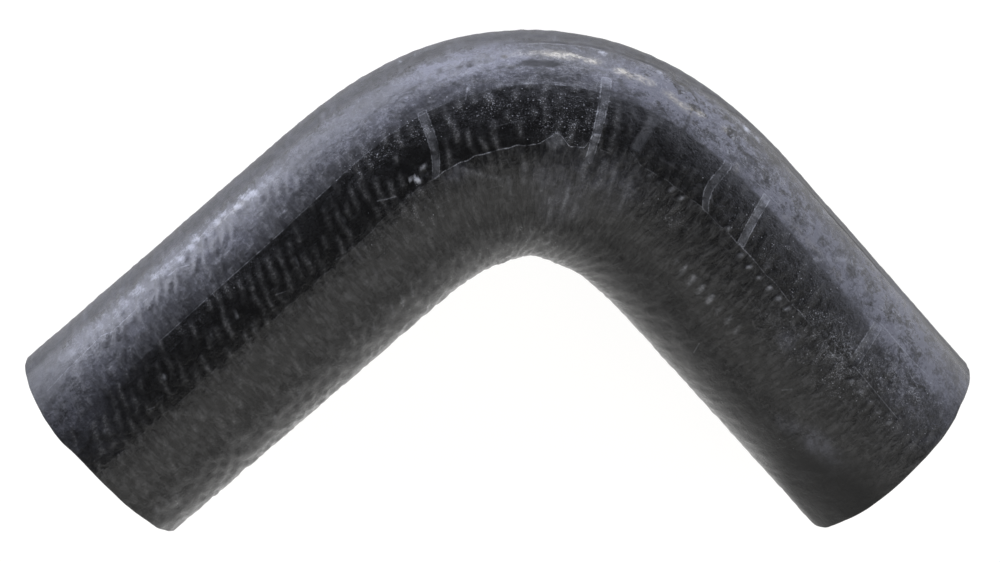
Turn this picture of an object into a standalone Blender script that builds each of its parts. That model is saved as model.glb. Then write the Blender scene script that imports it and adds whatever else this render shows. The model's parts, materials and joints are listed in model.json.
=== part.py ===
"""A moulded rubber coolant hose: one tube with a single bend, open at both ends, lying on its side.

Run it with blender --background --python part.py, or from Blender's text editor. Metres, +Z up.
The bend lies flat. The long leg points along -X and the short leg close to -Y.
"""

import math

import bmesh
import bpy
from mathutils import Vector

# Section
BORE_DIAMETER = 0.038
WALL = 0.005
EDGE_ROUNDING = 0.0007

# Centreline: each leg is measured from where the legs' axes cross to the middle of its cut end
LONG_LEG = 0.1237
SHORT_LEG = 0.1110
BEND_ANGLE = math.radians(88.45)
TIGHTEST_RADIUS = 0.0417
LONG_EASING = 0.028  # over this length the curvature grows from the straight leg to the tightest radius
SHORT_EASING = 0.032

# The ends were cut by hand: each cut leans from square, with the outer side of the bend the shorter
LONG_CUT_LEAN = math.radians(0.8)
SHORT_CUT_LEAN = math.radians(5.9)

# Fineness of the mesh
SIDES = 48
BEND_RINGS = 30
STEPS_PER_RING = 20
ROUNDING_STEPS = 3

OUTER_RADIUS = BORE_DIAMETER / 2 + WALL
AXIS_HEIGHT = Vector((0, 0, OUTER_RADIUS))
ALONG_LONG_LEG = Vector((1, 0, 0))
ALONG_SHORT_LEG = Vector((math.cos(BEND_ANGLE), -math.sin(BEND_ANGLE), 0))


def clear_scene():
    for obj in list(bpy.data.objects):
        bpy.data.objects.remove(obj)


def curvature(distance):
    """The curvature at this distance into the bend: it eases in, holds, and eases out."""
    full = 1 / TIGHTEST_RADIUS
    rising = distance / LONG_EASING
    falling = (bend_length() - distance) / SHORT_EASING
    return full * max(0, min(1, rising, falling))


def bend_length():
    """Each easing turns the hose half as far as a full arc of its length would."""
    return BEND_ANGLE * TIGHTEST_RADIUS + (LONG_EASING + SHORT_EASING) / 2


def bend_points():
    """Ring centres through the bend, with the bend's start at the origin and its heading along +X."""
    steps = BEND_RINGS * STEPS_PER_RING
    step = bend_length() / steps
    place = Vector((0, 0, 0))
    heading = 0
    points = [place.copy()]
    for number in range(steps):
        turn = curvature((number + 0.5) * step) * step
        middle = heading - turn / 2
        place += step * Vector((math.cos(middle), math.sin(middle), 0))
        heading -= turn
        if (number + 1) % STEPS_PER_RING == 0:
            points.append(place.copy())
    return points


def cut_planes():
    """The middle and the outward direction of each cut end, with the crossing of the legs at the origin."""
    outer_side = Vector((0, 1, 0))
    long_way_out = -ALONG_LONG_LEG + outer_side * math.tan(LONG_CUT_LEAN)
    short_outer_side = Vector((-ALONG_SHORT_LEG.y, ALONG_SHORT_LEG.x, 0))
    short_way_out = ALONG_SHORT_LEG + short_outer_side * math.tan(SHORT_CUT_LEAN)
    return [
        (AXIS_HEIGHT - ALONG_LONG_LEG * LONG_LEG, long_way_out.normalized()),
        (AXIS_HEIGHT + ALONG_SHORT_LEG * SHORT_LEG, short_way_out.normalized()),
    ]


def centreline():
    """Ring centres from past the long end to past the short end, each leg straight from bend to end."""
    bend = bend_points()
    chord = bend[-1]
    short_tangent = -chord.y / math.sin(BEND_ANGLE)
    long_tangent = chord.x - short_tangent * math.cos(BEND_ANGLE)
    spare = OUTER_RADIUS / 2  # each leg runs on past its leaning cut, which then trims it
    start = -ALONG_LONG_LEG * (LONG_LEG + spare)
    finish = ALONG_SHORT_LEG * (SHORT_LEG + spare)
    moved = [point - ALONG_LONG_LEG * long_tangent for point in bend]
    return [AXIS_HEIGHT + point for point in [start, *moved, finish]]


def skin(radius):
    """The open surface of a tube of this radius along the centreline, swept with the section's top kept up."""
    curve = bpy.data.curves.new("centreline", "CURVE")
    curve.dimensions = "3D"
    curve.twist_mode = "Z_UP"
    curve.bevel_depth = radius
    curve.bevel_resolution = SIDES // 2 - 2
    route = centreline()
    spline = curve.splines.new("POLY")
    spline.points.add(len(route) - 1)
    for point, place in zip(spline.points, route):
        point.co = (*place, 1)
    guide = bpy.data.objects.new("centreline", curve)
    bpy.context.scene.collection.objects.link(guide)
    swept = guide.evaluated_get(bpy.context.evaluated_depsgraph_get())
    mesh = bpy.data.meshes.new_from_object(swept)
    bpy.data.objects.remove(guide)
    return mesh


def trim(body, middle, way_out):
    """Cuts both skins off at one plane, and closes the wall between them with a flat rim."""
    everything = [*body.verts, *body.edges, *body.faces]
    cut = bmesh.ops.bisect_plane(body, geom=everything, plane_co=middle, plane_no=way_out, clear_outer=True)
    rim_edges = [item for item in cut["geom_cut"] if isinstance(item, bmesh.types.BMEdge)]
    bmesh.ops.bridge_loops(body, edges=rim_edges)


def hose_mesh():
    body = bmesh.new()
    for radius in (BORE_DIAMETER / 2, OUTER_RADIUS):
        surface = skin(radius)
        body.from_mesh(surface)
        bpy.data.meshes.remove(surface)
        if radius < OUTER_RADIUS:
            bmesh.ops.reverse_faces(body, faces=body.faces)  # the bore's skin faces the bore
    for middle, way_out in cut_planes():
        trim(body, middle, way_out)
    mesh = bpy.data.meshes.new("hose_elbow")
    body.to_mesh(mesh)
    body.free()
    return mesh


def rubber():
    material = bpy.data.materials.new("black_rubber")
    material.use_nodes = True
    shader = material.node_tree.nodes["Principled BSDF"]
    shader.inputs["Base Color"].default_value = (0.022, 0.023, 0.026, 1)
    shader.inputs["Roughness"].default_value = 0.48
    shader.inputs["Metallic"].default_value = 0
    return material


def round_edges(hose):
    rounding = hose.modifiers.new("rim_edges", "BEVEL")
    rounding.width = EDGE_ROUNDING
    rounding.segments = ROUNDING_STEPS
    rounding.limit_method = "ANGLE"
    rounding.angle_limit = math.radians(60)


def centre_on_floor(hose):
    """Puts the middle of the hose's plan over the origin. It already lies on the floor."""
    bpy.context.view_layer.update()
    solid = hose.evaluated_get(bpy.context.evaluated_depsgraph_get())
    corners = [Vector(corner) for corner in solid.bound_box]
    middle = (corners[0] + corners[6]) / 2
    hose.location = (-middle.x, -middle.y, 0)


def main():
    clear_scene()
    collection = bpy.data.collections.new("coolant_hose")
    bpy.context.scene.collection.children.link(collection)
    hose = bpy.data.objects.new("hose_elbow", hose_mesh())
    collection.objects.link(hose)
    hose.data.materials.append(rubber())
    hose.data.shade_smooth()
    hose.data.set_sharp_from_angle(angle=math.radians(40))
    round_edges(hose)
    centre_on_floor(hose)


main()
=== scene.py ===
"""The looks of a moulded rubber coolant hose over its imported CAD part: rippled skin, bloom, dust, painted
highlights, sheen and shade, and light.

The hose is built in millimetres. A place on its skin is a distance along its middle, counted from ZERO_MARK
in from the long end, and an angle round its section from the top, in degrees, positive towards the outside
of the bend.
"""

import json
import math

import bpy
import numpy as np
from mathutils import Matrix, Vector


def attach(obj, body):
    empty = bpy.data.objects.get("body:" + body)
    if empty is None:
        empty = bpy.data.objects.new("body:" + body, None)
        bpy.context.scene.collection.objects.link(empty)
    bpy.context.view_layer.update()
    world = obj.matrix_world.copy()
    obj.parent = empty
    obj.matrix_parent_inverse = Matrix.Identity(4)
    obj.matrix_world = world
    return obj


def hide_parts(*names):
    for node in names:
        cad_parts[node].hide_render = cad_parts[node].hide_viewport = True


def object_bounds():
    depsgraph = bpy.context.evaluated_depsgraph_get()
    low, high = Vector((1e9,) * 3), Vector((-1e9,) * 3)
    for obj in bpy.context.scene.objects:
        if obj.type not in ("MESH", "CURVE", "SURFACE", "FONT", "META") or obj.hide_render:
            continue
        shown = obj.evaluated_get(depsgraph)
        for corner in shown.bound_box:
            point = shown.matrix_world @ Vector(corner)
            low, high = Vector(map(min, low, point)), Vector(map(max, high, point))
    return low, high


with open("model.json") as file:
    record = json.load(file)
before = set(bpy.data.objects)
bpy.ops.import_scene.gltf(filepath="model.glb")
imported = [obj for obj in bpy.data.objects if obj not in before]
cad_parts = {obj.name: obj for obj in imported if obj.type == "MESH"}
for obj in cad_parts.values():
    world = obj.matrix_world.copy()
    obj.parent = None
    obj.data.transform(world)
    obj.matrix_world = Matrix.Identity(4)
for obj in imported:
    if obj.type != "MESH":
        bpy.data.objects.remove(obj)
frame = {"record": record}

CAD_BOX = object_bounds()
MM = 0.001

# Sizes of the hose, in mm, as in the CAD part
OUTER_RADIUS = (CAD_BOX[1].z - CAD_BOX[0].z) / MM / 2
WALL = 5.0
BORE_RADIUS = OUTER_RADIUS - WALL
LONG_LEG = 123.7
SHORT_LEG = 111.0
BEND_ANGLE = math.radians(88.45)
TIGHTEST_RADIUS = 41.7
LONG_EASING = 28.0
SHORT_EASING = 32.0
LONG_CUT_LEAN = math.radians(0.8)
SHORT_CUT_LEAN = math.radians(5.9)
RIM_ROUNDING = 0.3
ROUND_ABOUT = 2 * math.pi * OUTER_RADIUS
ZERO_MARK = 0.7

# The knife wandered: how far each cut falls short of the CAD part's, as (angle, shortfall) points
LONG_CUT_SHAPE = [
    (-180, 0.5), (-110, 0.3), (-80, 0.0), (-66, 0.0), (-54, 0.25), (-48, 0.55), (-30, 0.7), (-20, 0.86),
    (0, 0.82), (8, 0.5), (14, 0.2), (20, 0.0), (30, 0.05), (45, 0.2), (60, 0.42), (80, 0.45), (180, 0.5),
]
SHORT_CUT_SHAPE = [
    (-180, 0.4), (-110, 0.15), (-80, 0.0), (-72, 0.0), (-64, 0.35), (-54, 0.54), (-30, 0.5), (0, 0.5),
    (8, 0.35), (16, 0.12), (30, 0.25), (38, 0.48), (48, 0.33), (56, 0.18), (80, 0.25), (180, 0.4),
]
CUT_ROUGHNESS = 0.05

# Fineness of the mesh, and how strongly its columns crowd towards the creases
SKIN_ROWS = 566
BORE_ROWS = 70
BAND_COLUMNS = 22
OTHER_COLUMNS = 124
BAND_CROWDING = 0.5
OTHER_CROWDING = 0.65
RIM_STEPS = 4
ROUNDING_STEPS = 3
SKIN, RIM, BORE = range(3)  # the kinds of ring

# The smooth black band along the top lies between two lengthwise creases: (distance, angle) points
LOWER_CREASE = [
    (0, -7.6), (30, -7.2), (70, -6.6), (80, -4.0), (90, -2.2), (105, 0.0), (111.6, 0.6), (113.4, 3.4),
    (114.4, 5.5), (115.2, 5.4), (117.4, 1.0), (120.4, 1.2), (121.3, 8.2), (122.6, 8.6), (123.2, 2.4),
    (125.2, 2.2), (126.0, 7.0), (127.2, 6.6), (128.4, 7.4), (131.4, 3.0), (140, 3.4), (152.0, 4.4),
    (152.6, 7.8), (153.4, 4.4), (160, 4.9), (215, 4.6),
]
UPPER_CREASE = [
    (0, 17.0), (28, 20.6), (45, 21.5), (60, 22.2), (75, 24.0), (92, 27.4), (110, 30.5), (150, 29.0),
    (215, 29.0),
]
BAND_FLATNESS = 0.35  # share of the way from the round section to a flat one
MEAN_RELIEF = -0.16  # how far the skin lies inside the CAD part's, so that what stands out stays in its box
HIGHEST_RELIEF = -0.02  # nothing stands out further than this
RELIEF_SOFTNESS = 0.03  # how gently the relief stops there

# Unevenness all over the skin, in layers: height, length and width of the blobs, and seed
SWELLS = [(0.09, 24, 30, 21), (0.05, 11, 13, 22)]
PEBBLES = [(0.04, 1.6, 2.1, 23), (0.03, 0.9, 1.4, 24)]
COBBLE_HEIGHT = 0.3

# Ripple left by the cloth that the hose was wrapped in while it cured
RIPPLE_PITCH = 2.45
RIPPLE_HEIGHT = 0.13
RIPPLE_MIDDLE = 0.3  # the part of its height that lies level with the skin
RIPPLE_SLANT = [(0, 0.42), (60, 0.36), (110, 0.0), (160, -0.24), (215, -0.24)]
RIPPLE_CLARITY = [(0, 0.8), (20, 1.0), (124, 1.0), (136, 0.3), (215, 0.35)]
RIPPLE_WANDER = [(0.5, 13, 19, 11), (0.6, 4.2, 3.0, 15)]
STRONG_RIPPLE = [((44, 51), 36, 10, 1.6), ((150, 48), 40, 9, 0.5), ((110, 15), 40, 12, 0.5)]

# Painted highlight: pale strands, each on a slight ridge, along the highlight of the long leg: (distance,
# angle) points, and (distance, how clear) pairs
ROPE_PATH = [(6, 48), (18, 50.5), (32, 51.3), (46, 52.2), (66, 50.8)]
ROPE_CLARITY = [(0, 0.0), (6, 0.5), (24, 0.7), (36, 1.0), (60, 1.0), (70, 0.0)]
ROPE_HEIGHT = 0.07

# Painted highlights: pale hairlines along the two creases: (distance, how pale) pairs
LOWER_HIGHLIGHT_LINE = [
    (0, 0.03), (88, 0.05), (93, 0.40), (121, 0.42), (123, 0.08), (152, 0.08), (157, 0.22), (175, 0.24),
    (180, 0.05), (212, 0.03),
]
UPPER_HIGHLIGHT_LINE = [(24, 0.0), (32, 0.18), (92, 0.15), (98, 0.04), (118, 0.14), (124, 0.0)]

# Marks that tape left across the band: (angle, distance) points, width, how pale its film is, and how pale
# the painted highlight along its edge is
TAPE_RIDGE = 0.05
TAPE_DENT = 0.04
FAR_OUTSIDE = -9.0  # a depth that stands for a place far outside every mark
TAPE_MARKS = [
    ([(29, 92.7), (14, 92.3), (4, 91.2), (-3, 89.5)], 1.5, 0.15, 0.24),
    ([(39, 121.6), (20, 121.9), (-5, 121.7)], 1.4, 0.26, 0.40),
    ([(28, 130.4), (8, 129.5)], 2.0, 0.08, 0.03),
    ([(31, 144.8), (15, 144.9), (9, 145.7), (4, 147.4)], 1.5, 0.07, 0.26),
    ([(33, 154.2), (20, 155.1), (5, 156.9)], 1.6, 0.20, 0.36),
    ([(32, 188.7), (20, 189.4), (7, 190.3)], 2.1, 0.10, 0.26),
    ([(46, 59.5), (34, 58.6), (23, 57.0)], 2.6, 0.04, 0.02),
]

# Lumps in rows: first (distance, angle), count, pitch, half length, half width, slant, height, paleness
LUMP_ROWS = [
    ((134.1, 0.6), 2, 2.6, 0.5, 0.9, 0.3, 0.06, 0.14),
    ((139.4, 1.2), 2, 2.6, 0.6, 0.9, 0.3, 0.10, 0.4),
    ((158.4, 1.6), 1, 2.87, 0.75, 0.95, 0.3, 0.14, 0.6),
    ((161.3, 1.0), 2, 2.95, 0.6, 0.8, 0.3, 0.12, 0.34),
    ((167.2, 1.4), 3, 2.8, 0.7, 0.9, 0.3, 0.12, 0.45),
    ((192.6, 1.2), 5, 2.9, 0.6, 0.9, 0.3, 0.08, 0.24),
    ((150.4, -22.6), 1, 2.75, 0.6, 1.6, -0.3, 0.05, 0.2),
    ((153.0, -23.5), 4, 2.75, 0.75, 1.9, -0.3, 0.07, 0.4),
    ((164.1, -23.5), 3, 2.75, 0.65, 1.7, -0.3, 0.05, 0.2),
    ((19.8, -11.5), 1, 2.5, 0.5, 1.3, 0.0, 0.03, 0.07),
    ((31.0, -11.0), 2, 2.5, 0.5, 1.2, 0.0, 0.03, 0.07),
    ((52.5, -11.0), 2, 2.6, 0.5, 1.3, 0.0, 0.03, 0.07),
    ((65.4, -10.8), 2, 2.5, 0.6, 1.3, 0.0, 0.03, 0.07),
    ((14.6, -23.0), 3, 3.0, 0.5, 1.5, 0.1, 0.03, 0.05),
    ((49.5, -23.0), 3, 5.6, 0.6, 1.8, 0.1, 0.03, 0.06),
    ((65.3, -23.0), 2, 2.8, 0.6, 1.6, 0.1, 0.03, 0.06),
    ((65.5, -46.0), 4, 2.6, 0.6, 2.8, 0.4, 0.05, 0.1),
    ((33.0, -50.0), 1, 2.5, 0.6, 1.6, 0.4, 0.05, 0.14),
    ((40.2, -47.0), 1, 2.5, 0.6, 2.0, 0.4, 0.05, 0.1),
    ((60.0, -48.0), 1, 2.5, 0.6, 1.8, 0.4, 0.05, 0.1),
    ((2.8, -46.0), 3, 2.5, 0.7, 2.4, 0.4, 0.05, 0.07),
    ((7.5, 5.0), 1, 2.5, 0.5, 0.7, 0.4, 0.05, 0.18),
    ((23.4, 6.0), 1, 2.5, 0.55, 0.7, 0.4, 0.06, 0.28),
    ((35.7, 6.0), 1, 2.5, 0.5, 0.7, 0.4, 0.06, 0.25),
    ((42.2, 6.2), 1, 2.5, 0.5, 0.8, 0.4, 0.06, 0.28),
    ((58.0, 6.6), 1, 2.5, 0.5, 0.9, 0.4, 0.06, 0.3),
    ((70.3, 7.0), 1, 2.5, 0.5, 0.8, 0.4, 0.06, 0.22),
    ((61.3, 29.0), 2, 1.0, 0.7, 0.5, 0.0, 0.06, 0.35),
    ((120.7, 57.6), 1, 2.5, 0.7, 1.3, -0.5, 0.06, 0.85),
    ((127.4, 59.6), 1, 1.5, 0.9, 0.9, 0.0, 0.05, 0.4),
    ((128.9, 58.0), 1, 1.5, 0.7, 1.0, 0.0, 0.05, 0.85),
    ((142.2, 60.4), 1, 2.4, 1.6, 1.5, 0.0, 0.06, 0.4),
    ((144.5, 60.4), 1, 2.4, 1.2, 1.3, 0.0, 0.06, 0.9),
    ((147.0, 60.8), 1, 2.4, 1.0, 1.6, 0.0, 0.06, 0.4),
    ((100.7, 32.4), 1, 2.5, 0.5, 0.9, 0.0, 0.05, 0.35),
    ((165.8, 60.5), 2, 1.6, 0.9, 0.8, 0.0, 0.06, 0.4),
    ((86.3, 0.6), 1, 2.5, 0.75, 1.0, -0.3, 0.16, 1.3),
    ((85.2, 2.8), 2, 0.9, 0.55, 0.5, 0.0, 0.10, 1.1),
    ((88.6, 3.9), 1, 2.5, 1.1, 0.45, 0.0, 0.12, 1.1),
    ((114.6, 2.2), 1, 2.5, 2.1, 2.1, 0.0, 0.10, 0.36),
    ((114.6, -27.5), 1, 2.5, 0.6, 0.9, 0.0, 0.06, 0.3),
    ((94.2, -3.6), 1, 2.5, 0.9, 1.1, 0.0, 0.05, 0.2),
    ((152.8, 6.3), 1, 2.5, 0.6, 0.8, 0.3, 0.16, 0.3),
    ((122.0, 8.6), 1, 2.5, 0.9, 0.3, 0.0, 0.14, 0.6),
    ((163.6, 8.0), 1, 2.5, 0.9, 0.8, 0.0, 0.04, 0.14),
]

# Pits: (distance, angle), half length, half width, depth
PITS = [
    ((88.2, 1.8), 1.1, 0.7, 0.45),
    ((183.8, 60.0), 1.2, 1.6, 0.15),
    ((116.8, 76.0), 0.8, 2.0, 0.2),
    ((97.5, 48.5), 0.35, 0.5, 0.1),
    ((100.3, 46.5), 0.35, 0.5, 0.1),
    ((101.6, 46.0), 0.5, 0.7, 0.12),
    ((107.0, 49.0), 0.6, 0.6, 0.12),
]

# Bloom clouds: (distance, angle), half length, half width, strength
BLOOM_CLOUDS = [
    ((192, 47), 26, 13, 0.6),
    ((207, 22), 12, 12, 0.3),
    ((172, 40), 12, 8, 0.35),
    ((158, 48), 14, 9, 0.25),
    ((132, 42), 16, 9, 1.0),
    ((101, 51), 15, 6, 0.6),
    ((100, 40), 22, 8, 0.3),
    ((54, 40), 26, 8, 0.1),
    ((12, 30), 20, 9, 0.1),
    ((4, 12), 22, 10, 0.2),
    ((160, 34), 20, 4, 0.3),
    ((198, 18), 20, 9, 0.15),
    ((201, -33), 9, 4.5, 0.7),
    ((192, -38), 4, 3, 0.4),
    ((203, -53), 5, 4, 0.5),
    ((178, -7), 3.5, 3.5, 0.4),
    ((118, -20), 12, 12, 0.3),
    ((94, -5), 4, 3, 0.25),
    ((130, -10), 10, 8, 0.2),
]

# Fine dust specks: (distance, angle), half length, half width, strength
DUST_PATCHES = [
    ((115, 15), 13, 8, 1.0),
    ((103, 22), 20, 7, 0.7),
    ((82, 22), 16, 5, 0.6),
    ((42, 18), 20, 3, 0.4),
    ((165, 16), 30, 8, 0.5),
    ((188, 8), 20, 8, 0.5),
    ((205, 14), 14, 12, 0.5),
    ((142, -9), 8, 4, 0.6),
    ((186, -6), 16, 6, 0.6),
    ((80, -10), 14, 8, 0.35),
    ((200, -45), 14, 8, 0.35),
    ((110, -56), 30, 8, 0.4),
]

# Scuffed places with chalky scribbles: (distance, angle), half length, half width, strength
SCUFFS = [
    ((186, 8), 14, 7, 1.0),
    ((200, 22), 14, 8, 0.8),
    ((140, 46), 22, 10, 1.0),
    ((160, 46), 18, 9, 0.7),
    ((190, 48), 24, 12, 0.8),
    ((112, 40), 24, 8, 0.5),
    ((176, -8), 12, 6, 0.4),
    ((20, 43), 12, 3, 0.5),
    ((80, 38), 20, 8, 0.4),
]

# Where soot, and some painted shade, keep the skin dull and dark: (distance, angle), half length, half width,
# strength
SOOT_AND_SHADE = [
    # The first two patches are painted shade, on the short leg's inner side near its end
    ((214, -54), 24, 21, 1.5),
    ((190, -52), 26, 9, 0.5),
    ((110.6, 42.9), 2.4, 1.6, 1.8),
    ((113.2, 42.5), 2.2, 1.4, 1.8),
    ((88.0, 1.9), 1.2, 0.8, 2.0),
    ((97.6, 48.5), 0.7, 0.7, 1.4),
    ((100.4, 46.6), 0.7, 0.8, 1.4),
    ((101.8, 46.0), 0.9, 1.0, 1.2),
    ((106.8, 48.6), 1.0, 0.9, 1.2),
    ((93.0, 44.0), 2.6, 1.2, 0.5),
    ((72.0, 46.0), 3.0, 1.3, 0.3),
    ((74, 44), 14, 7, 0.3),
    ((0, 46), 16, 15, 0.6),
    ((182, 50), 3.0, 1.5, 0.4),
    ((184, 40), 3.0, 2.0, 0.5),
]

# Dark lines: (distance, angle) points, half width, strength
DARK_LINES = [
    ([(135.6, 27), (135.2, 44)], 0.5, 0.8),
    ([(147, 79), (142, 68), (137, 58), (129, 52)], 0.5, 0.6),
    ([(141, 78), (136, 66), (131, 60)], 0.4, 0.5),
    ([(121, 31.5), (130, 33)], 0.6, 0.5),
]

# Wisps of bloom: (distance, angle) points, half width, how pale
WISPS = [
    ([(170, 29), (172, 36), (175, 45), (179, 50), (184, 51)], 1.0, 0.17),
    ([(207, -34), (203.5, -50), (204, -62), (201.5, -76)], 0.8, 0.12),
    ([(95, -4), (98, -9), (103, -15)], 0.5, 0.09),
    ([(60.4, 49.2), (64, 50.2), (67, 50.6)], 0.35, 0.5),
    ([(121.4, -2), (121.2, -14)], 1.5, 0.16),
    ([(121.6, -22), (121.9, -34)], 1.0, 0.12),
    ([(118.8, -20), (118.6, -30)], 0.9, 0.18),
    ([(124.9, -3), (125.4, -12)], 1.1, 0.14),
    ([(127.6, -5), (128.4, -16)], 1.0, 0.10),
    ([(131.4, -6), (132.4, -20)], 1.2, 0.11),
    ([(108.2, -8), (107.9, -18)], 1.0, 0.10),
    ([(112.4, -12), (112.2, -22)], 0.9, 0.12),
    ([(115.4, -30), (115.2, -40)], 0.9, 0.12),
    ([(104.6, -14), (104.2, -24)], 0.8, 0.10),
    ([(117.0, -46), (116.9, -58)], 1.0, 0.10),
    ([(110.0, -44), (109.8, -54)], 0.9, 0.09),
    ([(105, 30.4), (118, 31.2)], 0.6, 0.14),
]

# Painted highlight: streaks of warm cream along the brightest line: (distance, angle) points, half width,
# strength
CREAM_HIGHLIGHT_STREAKS = [
    ([(107, 50.0), (113, 50.4)], 1.5, 0.5),
    ([(113, 50.0), (119.4, 48.8)], 1.8, 1.1),
    ([(123.5, 46.0), (127.6, 46.2)], 1.7, 1.2),
    ([(131, 44.5), (134.8, 42.0)], 1.5, 0.9),
    ([(134.8, 42.5), (136.8, 45.0)], 1.3, 0.9),
    ([(141, 45.0), (141.4, 47.0)], 1.1, 0.4),
    ([(146, 34.0), (147, 30.0)], 0.9, 0.25),
    ([(159, 32.5), (168, 33.5), (176, 33.0)], 1.5, 0.14),
    ([(49, 50.5), (57, 51.0)], 1.2, 0.35),
]

# Scratches: (distance, angle) points, half width, how pale
SCRATCHES = [
    ([(3, 40.6), (9, 42.6), (18, 44.6)], 0.12, 0.24),
    ([(18, 44.8), (20.5, 42.0)], 0.14, 0.35),
    ([(21, 42.0), (30, 43.6)], 0.12, 0.24),
    ([(36, 46.2), (39, 45.2), (40.8, 42.2)], 0.14, 0.30),
    ([(77.6, 3.6), (79.2, 1.6), (81.0, 0.0)], 0.12, 0.30),
    ([(103.5, 10.6), (107.8, 12.0)], 0.10, 0.12),
    ([(110, 58.0), (120, 60.0)], 0.12, 0.30),
    ([(150, 34.0), (158, 34.6)], 0.10, 0.20),
    ([(189, 33.6), (200, 33.2), (204, 34.4)], 0.12, 0.30),
    ([(191, 7.2), (205, 6.2)], 0.10, 0.22),
    ([(16.5, -0.4), (18.0, -1.8)], 0.10, 0.15),
    ([(50.5, 1.0), (52.5, -0.8)], 0.10, 0.15),
    ([(185.2, -27.0), (186.2, -23.0)], 0.16, 0.15),
    ([(167.6, -45.0), (168.8, -52.5)], 0.12, 0.18),
    ([(93.2, 70.0), (93.0, 74.0)], 0.14, 0.30),
    ([(95.2, 70.0), (95.3, 74.0)], 0.12, 0.25),
    ([(99.8, 27.0), (100.6, 33.0)], 0.12, 0.25),
    ([(140.6, -52.0), (141.6, -46.0)], 0.12, 0.12),
]

# A shallow groove along the outside of the bend, where the thick bloom and painted sheen stop: (distance,
# angle) points
BLOOM_EDGE = [(0, 58), (60, 58), (83, 57), (93, 59.6), (110, 60.6), (135, 63), (165, 66), (212, 64)]
GROOVE_DEPTH = 0.07
GROOVE_START = (78, 90)  # between these distances it grows from nothing to its full depth

# The bloom above the band, partly a painted sheen of the cool window light: the blur of its lower edge in mm,
# its thickness, and what it gains further up
BLOOM_AND_SHEEN_BLUR = [(0, 4.5), (18, 3.5), (32, 0.3), (168, 0.3), (184, 1.8), (215, 4.5)]
BLOOM_AND_SHEEN_THICKNESS = [(0, 0.09), (118, 0.13), (142, 0.37), (215, 0.37)]
BLOOM_AND_SHEEN_THICKENING = [(0, 0.11), (118, 0.15), (142, 0.0)]

# Colours of the skin
RUBBER_BLACK = (0.0065, 0.0065, 0.0067, 1)
GREY_DUST = (0.100, 0.100, 0.101, 1)
# A bluish bloom, which also paints the sheen of the cool window light on the side that faces it
BLUE_BLOOM_AND_SHEEN = (0.092, 0.094, 0.112, 1)
# The warm colour of the painted highlight streaks
CREAM_HIGHLIGHT = (0.42, 0.39, 0.31, 1)
# The pale of the chalky marks, also used for the painted highlights
CHALK_AND_HIGHLIGHT = (0.40, 0.41, 0.44, 1)
RUBBER_IOR = 1.36

# What points up in the picture, as a heading in plan from +X
PICTURE_UP = math.radians(49.4)


def path_of(pairs, distance):
    """A value that runs through these (distance, value) pairs."""
    return np.interp(distance, [pair[0] for pair in pairs], [pair[1] for pair in pairs])


def soft_step(value, start, end):
    share = np.clip((value - start) / (end - start), 0, 1)
    return share * share * (3 - 2 * share)


def turned_from(angle, middle):
    """How far an angle is from another, the short way round."""
    return (angle - middle + 180) % 360 - 180


def arc_of(angle):
    """The length round the section that goes with an angle in degrees."""
    return np.radians(angle) * OUTER_RADIUS


def soft_noise(along, around, length, width, seed):
    """A smooth random value from -1 to 1 all over the skin, in blobs of this length and width."""
    rows_before_zero = 20
    turns = max(3, round(ROUND_ABOUT / width))
    row = along / length + rows_before_zero
    column = around / ROUND_ABOUT * turns
    grid = np.random.default_rng(seed).uniform(-1, 1, (int(row.max()) + 3, turns))
    low_row = np.floor(row).astype(int)
    low_column = np.floor(column).astype(int)
    row_share = soft_step(row - low_row, 0, 1)
    column_share = soft_step(column - low_column, 0, 1)
    found = 0
    for step, share in ((0, 1 - row_share), (1, row_share)):
        first = grid[low_row + step, low_column % turns]
        second = grid[low_row + step, (low_column + 1) % turns]
        found = found + share * (first * (1 - column_share) + second * column_share)
    return found


def layered_noise(distance, around, layers):
    """The sum of some layers of soft noise."""
    return sum(height * soft_noise(distance, around, *blob) for height, *blob in layers)


class Centreline:
    """The middle of the hose: where it is and which way it heads, at any distance from the long end."""

    STEPS = 4000

    def __init__(self):
        bend = BEND_ANGLE * TIGHTEST_RADIUS + (LONG_EASING + SHORT_EASING) / 2
        step = bend / self.STEPS
        middle = (np.arange(self.STEPS) + 0.5) * step
        share = np.minimum(middle / LONG_EASING, (bend - middle) / SHORT_EASING).clip(0, 1)
        heading = np.concatenate([[0], -np.cumsum(share) * step / TIGHTEST_RADIUS])
        half_way = (heading[1:] + heading[:-1]) / 2
        x = np.concatenate([[0], np.cumsum(np.cos(half_way)) * step])
        y = np.concatenate([[0], np.cumsum(np.sin(half_way)) * step])
        short_tangent = -y[-1] / math.sin(BEND_ANGLE)
        long_tangent = x[-1] - short_tangent * math.cos(BEND_ANGLE)
        self.start = -ZERO_MARK
        self.bend_start = self.start + LONG_LEG - long_tangent
        self.bend_end = self.bend_start + bend
        self.end = self.bend_end + SHORT_LEG - short_tangent
        self.distance = np.linspace(self.bend_start, self.bend_end, self.STEPS + 1)
        self.x, self.y, self.heading = x - long_tangent, y, heading

    def at(self, distance):
        """Place in plan, and heading. The legs cross at the origin, and they run on past the ends."""
        heading = np.interp(distance, self.distance, self.heading)
        before = np.minimum(distance - self.bend_start, 0)
        after = np.maximum(distance - self.bend_end, 0)
        x = np.interp(distance, self.distance, self.x) + before + after * math.cos(BEND_ANGLE)
        y = np.interp(distance, self.distance, self.y) - after * math.sin(BEND_ANGLE)
        return x, y, heading


# Marks on the skin


def dome(distance, angle, middle, half_length, half_width, slant=0.0):
    """A smooth lump, from 1 at its middle to 0 at its edge."""
    around = arc_of(turned_from(angle, middle[1]))
    along = distance - middle[0] - slant * around
    away = (along / half_length) ** 2 + (around / half_width) ** 2
    return (1 - away).clip(0, 1) ** 2


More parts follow.
